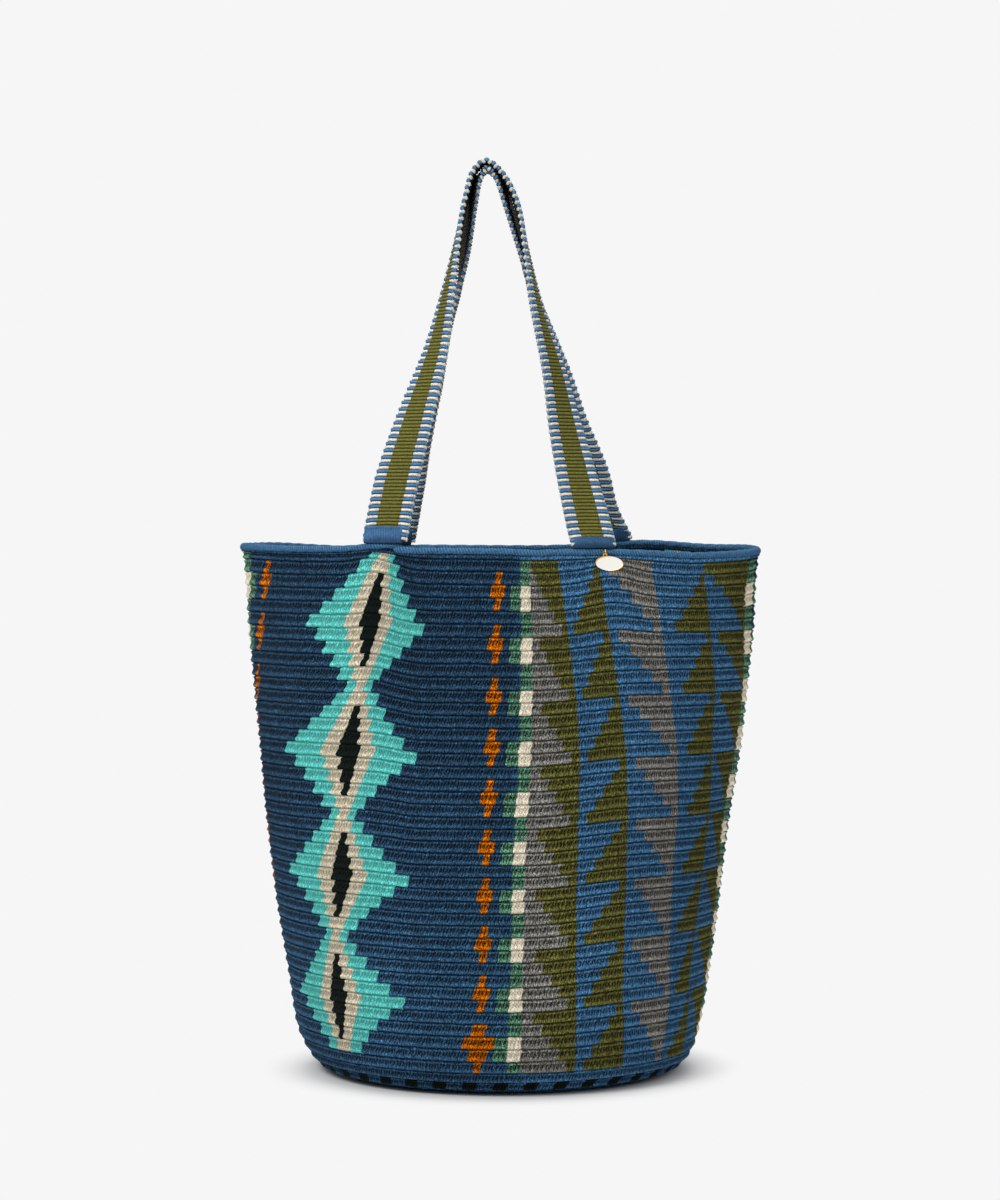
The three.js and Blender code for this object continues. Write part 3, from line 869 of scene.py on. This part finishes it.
def smoothPath(points, steps=60):
    # a centripetal spline through the points, as evenly fine pieces
    ends = [points[0] * 2 - points[1]] + points + [points[-1] * 2 - points[-2]]
    path = []
    for i in range(1, len(ends) - 2):
        a, b, c, d = ends[i - 1:i + 3]
        first, mid, last = ((q - p).length ** 0.5 for p, q in ((a, b), (b, c), (c, d)))
        leave = ((b - a) / first - (c - a) / (first + mid) + (c - b) / mid) * mid
        reach = ((c - b) / mid - (d - b) / (mid + last) + (d - c) / last) * mid
        for k in range(steps):
            t = k / steps
            square, cube = c * 3 - b * 3 - leave * 2 - reach, b * 2 - c * 2 + leave + reach
            path.append(b + leave * t + square * t**2 + cube * t**3)
    path.append(points[-1])
    return path


class StrapLine:
    # the middle line of a strap, with the way it faces at each length
    def __init__(self, strap):
        self.strap = strap
        left = legPoints(strap, strap["left"])
        right = legPoints(strap, strap["right"])
        self.path = np.array(smoothPath(left + [crownOf(strap)] + right[::-1]))
        steps = np.linalg.norm(np.diff(self.path, axis=0), axis=1)
        self.lengths = np.concatenate([[0.0], np.cumsum(steps)])
        self.whole = float(self.lengths[-1])

    def pointAt(self, length):
        return np.array([np.interp(length, self.lengths, self.path[:, k]) for k in range(3)])

    def frameAt(self, length):
        inside = min(max(length, 0.0), self.whole)
        point = self.pointAt(inside)
        along = self.pointAt(min(inside + 0.8, self.whole)) - self.pointAt(max(inside - 0.8, 0.0))
        along = along / np.linalg.norm(along)
        crown = crownOf(self.strap)
        onLeft = point[0] < crown.x
        leg = self.strap["left"] if onLeft else self.strap["right"]
        foot = footOf(self.strap, leg)
        climbed = min(max((point[2] - foot.z) / (crown.z - foot.z), 0.0), 1.0)
        low, high = leg["twist"]
        turned = min(max((climbed - low) / (high - low), 0.0), 1.0)
        atFoot = math.atan2(abs(foot.x) / rollHalfWidth**2, abs(foot.y) / rollHalfDepth**2)
        angle = atFoot + (math.pi / 2 - atFoot) * (1 - (1 - turned) ** leg.get("turnEase", 1.4))
        # the back strap's front edge keeps its place while the band leans on the front strap
        leaning = float(ease(climbed, leg.get("leanFrom", 0.72), 0.82) * (1 - ease(climbed, 0.97, 1.0)))
        leaned = angle + math.radians(leg.get("lean", 0.0)) * leaning
        sideways = (1 if onLeft else -1) * self.strap["side"]
        across = np.array([sideways * math.cos(leaned), math.sin(leaned), 0.0])
        upright = np.array([sideways * math.cos(angle), math.sin(angle), 0.0])
        point = point + (across - upright) * strapSize["width"] / 2
        face = np.cross(along, across)
        face = face / np.linalg.norm(face)
        point = point - np.array([0, 0, max(0.0, -length, length - self.whole)])
        return point, across, face


def strapPaint():
    paint = Paint("wovenStrap", {"Roughness": 0.86, "Specular IOR Level": 0.08, "Sheen Weight": 0.015})
    place = paint.place()
    chart = paint.mapped("stitchMap")
    wide, rib = (chart - 0.5) * strapSize["chart"][0], chart.other(1) * strapSize["chart"][1]
    wide = wide + (paint.noise(place, 300.0, 1.0) - 0.5) * 0.6
    rib = rib + (paint.noise(place, 240.0, 1.0) - 0.5) * 0.16
    inRib, number = rib.part(), rib.whole()
    flat = abs(wide)
    odd = (number % 2.0) > 0.5
    bars = flat > strapSize["oliveHalf"]
    colour = paint.mix(odd, yarn(strapSize["white"]), yarn(strapSize["blue"]))
    colour = paint.mix(1.0 - bars, colour, yarn(strapSize["olive"]))
    proud = (inRib * math.pi).wave()
    drawn = paint.node("ShaderNodeCombineXYZ", {}, {0: wide * 0.5, 1: rib * 5.0, 2: number * 3.7})
    thread = paint.noise(drawn, 1.0, 2.0, 0.6) - 0.5
    twill = ((wide * 0.9 + rib * 0.5) * (2 * math.pi)).wave()
    fuzz = paint.noise(place, 1300.0, 2.0, 0.7)
    # painted shade in the grooves between the ribs and painted highlight on the rib tops, following how proud the rib
    # stands
    level = (proud.calc("POWER", 1.1) * 1.2 + 0.14) * (thread * 1.1 + 1.0) * (twill * 0.05 + 1.0)
    # painted shade on the faces where the two straps lie against each other
    level = level * ((fuzz - 0.5) * 1.3 + 1.0) * (1.0 - paint.attribute("nested") * 0.93)
    relief = thread * 0.4 + fuzz * 0.2 + twill * 0.05
    return paint.finish(paint.shaded(colour, level), relief, 1.2)


def strapSection(wide, thick, proudFlat, proudBar):
    # half outline from one edge over the outer face to the other, then back under it
    half = wide / 2
    face = []
    inner = [-10.4, -7.6, -7.0, -6.6, -3.3, 0.0, 3.3, 6.6, 7.0, 7.6, 10.4]
    for x in [-half + 0.5, -half + 1.5] + inner + [half - 1.5, half - 0.5]:
        bar = min(1.0, max(0.0, (abs(x) - 6.6) / 0.9))
        rise = thick / 2 + proudFlat * (1 - bar) + proudBar * bar
        rise -= 0.35 if abs(abs(x) - 7.0) < 0.05 else 0.0
        rise -= 0.75 if abs(x) > half - 0.6 else 0.0
        face.append((x, rise))
    edgePoints = [(half, 0.45 * thick / 2), (half, -0.45 * thick / 2)]
    outline = face + edgePoints + [(x, -t) for x, t in reversed(face)] + [(-x, -t) for x, t in edgePoints]
    return outline


def wovenStrap(name, line, paint):
    ribs = round(line.whole / strapSize["rib"])
    samples = strapSize["samples"]
    rings, chart, nested = [], [], []
    crown, foot = crownOf(line.strap).z, footOf(line.strap, line.strap["left"]).z
    for i in range(ribs * samples + 1):
        rib = i / samples
        proud = abs(math.sin(math.pi * rib)) ** 0.6
        length = line.whole * rib / ribs
        point, across, face = line.frameAt(length)
        along = np.cross(across, face)
        near = max(math.exp(-length / 14), math.exp(-(line.whole - length) / 14))
        away = -1 if length > line.whole / 2 else 1
        thick, flat, bar = strapSize["thickness"] - 1.3, strapSize["ribDepth"] * proud, strapSize["barDepth"] * proud
        outline = strapSection(strapSize["bandWide"], thick, flat, bar)
        bow = strapSize["bow"] * near * away * (0.35 + 0.65 * min(1, length / 9, (line.whole - length) / 9))
        ring = []
        for w, t in outline:
            bowed = bow * (1 - (w / (strapSize["width"] / 2)) ** 2)  # the ribs bow near the ends
            ring.append(point + across * w + face * t + along * bowed)
        rings.append(ring)
        row = [(0.5 + w / strapSize["chart"][0], rib / strapSize["chart"][1]) for w, _ in outline]
        chart.append(row + [row[0]])
        # painted shade: the faces of the two straps that lie against each other, from about two thirds of the way up,
        # are darkened
        shadedBetween = float(ease((point[2] - foot) / (crown - foot), 0.62, 0.74))
        nested += [shadedBetween * (t * line.strap["side"] > 0) for _, t in outline]
    made = ringMesh(name, rings, chart)
    made.data.attributes.new("nested", "FLOAT", "POINT").data.foreach_set("value", nested + [0.0, 0.0])
    made.data.materials.append(paint)
    return made


def loopSpots(line):
    # where each loop of the two edges lies: point, turn, half sizes and which colour it has
    ribs = round(line.whole / strapSize["rib"])
    spots = []
    for side in (-1, 1):
        for i in range(ribs):
            length = line.whole * (i + 0.5) / ribs
            point, across, face = line.frameAt(length)
            along = np.cross(across, face)
            kind = 1 - i % 2
            size = strapSize["loopWhite"] if kind else strapSize["loopBlue"]
            spot = point + across * (side * strapSize["loopOut"][kind]) + face * strapSize["loopFace"][kind]
            turn = turnOf(Vector(across), Vector(along), Vector(np.cross(across, along)))
            spots.append((spot, turn, size, float(kind)))
    return spots


def loopPaint():
    paint = Paint("strapLoops", {"Roughness": 0.86, "Specular IOR Level": 0.08})
    place = paint.place()
    fuzz = paint.noise(place, 1300.0, 2.0, 0.7)
    twist = paint.noise(place, 520.0, 1.0) - 0.5
    colour = paint.mix(paint.attribute("tone"), yarn(strapSize["loopThread"]), yarn(strapSize["white"]))
    level = ((fuzz - 0.5) * 0.9 + 0.95) * (twist * 0.7 + 1.0)
    return paint.finish(paint.shaded(colour, level), fuzz * 0.3 + twist * 0.5, 1.2)


lines = {place: StrapLine(strap) for place, strap in straps.items()}
weave = strapPaint()
loopTree, loopKeys = threadTree("strapLoops", loopPaint(), 8, 6)
for place, line in lines.items():
    band = wovenStrap(place + "WovenStrap", line, weave)
    loops = layThreads(place + "StrapLoops", loopSpots(line), loopTree, loopKeys, (1.0 * mm, 0.12, 3))
    for piece in (band, loops):
        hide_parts(place + "_strap")
        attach(piece, "bag")
    print("woven strap:", place, round(line.whole), "mm")

# satin-stitched bindings over the strap ends, threads laid side by side

binding = {
    "pad": 1.0, "threadRadius": 0.36, "pitch": 0.62, "seed": 7, "colour": "#3E678F",
    "footShade": (0.3225, 0.331, 0.55, 1.08),  # two heights in metres and the level at each
    # the pad's half thickness, as a share, at each height over the rim
    "profile": [(-1.3, 0.62), (-0.9, 0.8), (0.2, 0.95), (2.0, 1.04), (4.0, 1.06), (6.0, 1.0), (7.3, 0.84), (7.9, 0.66)],
}


def threadPaint():
    paint = Paint("satinThread", {"Roughness": 0.6, "Specular IOR Level": 0.15, "Sheen Weight": 0.03})
    place = paint.place()
    drawn = paint.node("ShaderNodeVectorMath", {"operation": "MULTIPLY"}, {0: place, 1: (1.0, 1.0, 0.14)})
    streak = paint.noise(drawn, 1500.0, 2.0, 0.6)
    fuzz = paint.noise(place, 1300.0, 2.0, 0.7)
    patch = paint.noise(place, 60.0, 1.0)
    low = paint.node("ShaderNodeSeparateXYZ", {}, {0: place}).other(2)
    shade = paint.node("ShaderNodeMapRange", {}, dict(enumerate((low, *binding["footShade"]))))
    level = (paint.attribute("tone") * 0.35 + 0.8) * ((streak - 0.5) * 1.1 + 1.0) * shade
    level = level * ((fuzz - 0.5) * 0.7 + 1.0) * ((patch - 0.5) * 0.5 + 1.0)
    return paint.finish(paint.shaded(yarn(binding["colour"]), level), streak * 0.3 + fuzz * 0.2, 1.2)


satin = threadPaint()
satinTree, satinKeys = threadTree("satinThreads", satin, 6, 8)


def satinBinding(name, node, line, atStart, shift, half, tall):
    # a soft pad round the strap's end, closed by rows of threads on both faces
    place = (lambda length: length) if atStart else (lambda length: line.whole - length)
    thick = strapSize["thickness"] + 2 * binding["pad"]
    rings = []
    for level, puff in binding["profile"]:
        level = level * tall if level > 0 else level
        point, across, face = line.frameAt(place(level))
        up = np.cross(face, across)
        up = up / np.linalg.norm(up) * (1 if up[2] > 0 else -1)
        w, t = half * (0.95 + 0.05 * puff), thick / 2 * puff
        ring = []
        for k in range(36):
            around = 2 * math.pi * k / 36
            cs, sn = math.cos(around), math.sin(around)
            aside = w * math.copysign(abs(cs) ** 0.4, cs)
            arch = 0.9 * (1 - (aside / half) ** 2) * max(0.0, level / 8)
            through = t * math.copysign(abs(sn) ** 0.55, sn)
            ring.append(point + across * (aside + shift) + face * through + up * arch)
        rings.append(ring)
    pad = ringMesh(name + "Pad", rings)
    pad.data.materials.append(satin)
    pad.data.attributes.new("tone", "FLOAT", "POINT").data.foreach_set("value", [0.3] * len(pad.data.vertices))
    spots = []
    count = int(2 * half / binding["pitch"])
    for side in (-1, 1):
        for k in range(count):
            wide = (k + 0.5) / count * 2 * half - half
            ragged = 0.45 * math.sin(k * 2.4) + 0.35 * math.sin(k * 5.1 + side)
            arch = 0.8 * (1 - (wide / half) ** 2)
            point, across, face = line.frameAt(place(4.3 * tall - 0.6 + ragged * 0.4))
            up = np.cross(face, across)
            up = up / np.linalg.norm(up) * (1 if up[2] > 0 else -1)
            rounded = 1 - 0.5 * abs(wide / half) ** 6
            through = side * (thick / 2 * 1.02 * rounded - 0.08)
            spot = point + across * (wide + shift) + face * through + up * arch * 0.5
            turn = turnOf(Vector(across), Vector(up), Vector(np.cross(up, across)))
            tone = 0.5 + 0.5 * math.sin(k * 3.7 + side * 1.3)
            long = (4.0 * tall + 0.75 + ragged * 0.4) / binding["threadRadius"]
            spots.append((spot, turn, (1.0, 1.0, long), tone))
    values = (binding["threadRadius"] * mm, 0.08, binding["seed"])
    threads = layThreads(name + "Threads", spots, satinTree, satinKeys, values)
    for piece in (pad, threads):
        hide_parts(node)
        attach(piece, "bag")


for place, line in lines.items():
    # shift along the rim, half width and height of the left and the right one
    left, right = ((1.2, 12.0, 1.0), (0.0, 12.2, 0.6)) if place == "front" else ((0.0, 11.4, 1.0), (0.0, 12.2, 0.85))
    satinBinding(place + "LeftBinding", place + "_left_binding", line, True, *left)
    satinBinding(place + "RightBinding", place + "_right_binding", line, False, *right)
print("satin-stitched bindings")

# ring and tag

tag = {
    "at": 62.5, "ringRadius": 1.7, "wire": 0.7, "length": 17.2, "height": 9.0,
    "ringGold": "#E3B04A", "face": "#F1EEE6", "border": "#DAA440", "borderFrom": (0.925, 0.965),
}


def metalPaint(name, code, roughness):
    paint = Paint(name, {"Metallic": 1.0, "Roughness": roughness})
    place = paint.place()
    haze = paint.noise(place, 400.0, 3.0, 0.6)
    brushed = paint.noise(place, 90.0, 1.0)
    colour = paint.shaded(yarn(code), (brushed - 0.5) * 0.06 + 1.0)
    return paint.finish(colour, haze * 0.05, 0.1, (haze - 0.5) * 0.12 + roughness)


def cadSpot():
    depth = -bag["mouthHalfDepth"] * math.sqrt(1 - (tag["at"] / bag["mouthHalfWidth"]) ** 2)
    out = Vector((tag["at"] / bag["mouthHalfWidth"] ** 2, depth / bag["mouthHalfDepth"] ** 2, 0)).normalized()
    along = Vector((-out.y, out.x, 0))
    low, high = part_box("tag_ring")
    middle = (Vector(low) + Vector(high)) / 2
    return middle / mm, out, along


def ringAndTag():
    middle, out, along = cadSpot()
    rings = []
    for i in range(40):
        turned = 2 * math.pi * i / 40
        spoke = out * math.cos(turned) + Vector((0, 0, 1)) * math.sin(turned)
        centre = middle + spoke * tag["ringRadius"]
        rings.append([
            centre + spoke * (tag["wire"] / 2 * math.cos(a)) + along * (tag["wire"] / 2 * math.sin(a))
            for a in (2 * math.pi * k / 12 for k in range(12))
        ])
    ring = ringMesh("tagRing", rings, loop=True)
    ring.data.materials.append(metalPaint("goldEdge", tag["ringGold"], 0.25))
    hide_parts("tag_ring")
    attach(ring, "bag")


def tagPaint(plate):
    # the face is pale metal, its border and eye are gold; the oval is found on the plate's own mesh
    points = np.array([v.co[:] for v in plate.data.vertices]) / mm
    along = cadSpot()[2]
    flat = points @ np.array(along)
    centre = (flat.max() + flat.min()) / 2
    low = points[:, 2].min()
    wide = tag["length"] / 2
    near = points[np.abs(flat - centre) > wide * 0.93].mean(0)
    foot = points[points[:, 2] < low + 0.3].mean(0)
    down = foot - near
    down -= np.array(along) * (down @ np.array(along))
    down = down / np.linalg.norm(down)
    heart = near + np.array(along) * (centre - near @ np.array(along))
    paint = Paint("tagMetal", {"Metallic": 1.0, "Roughness": 0.3})
    place = paint.place()
    spot = paint.node("ShaderNodeVectorMath", {"operation": "SUBTRACT"}, {0: place, 1: tuple(heart * mm)})
    axes = (np.array(along) / wide / mm, down / (tag["height"] / 2) / mm)
    right, below = (
        paint.node("ShaderNodeVectorMath", {"operation": "DOT_PRODUCT"}, {0: spot, 1: tuple(axis)}, 1) for axis in axes)
    reach = (right * right + below * below).calc("SQRT")
    border = paint.ramp(reach, *tag["borderFrom"])
    haze = paint.noise(place, 500.0, 3.0, 0.6)
    colour = paint.mix(border, yarn(tag["face"]), yarn(tag["border"]))
    return paint.finish(colour, haze * 0.05 + border * 0.5, 0.25, (haze - 0.5) * 0.12 + 0.3)


ringAndTag()
plate = frame["nodes"]["oval_tag"]
plate.data.materials.clear()
plate.data.materials.append(tagPaint(plate))
print("ring and tag")
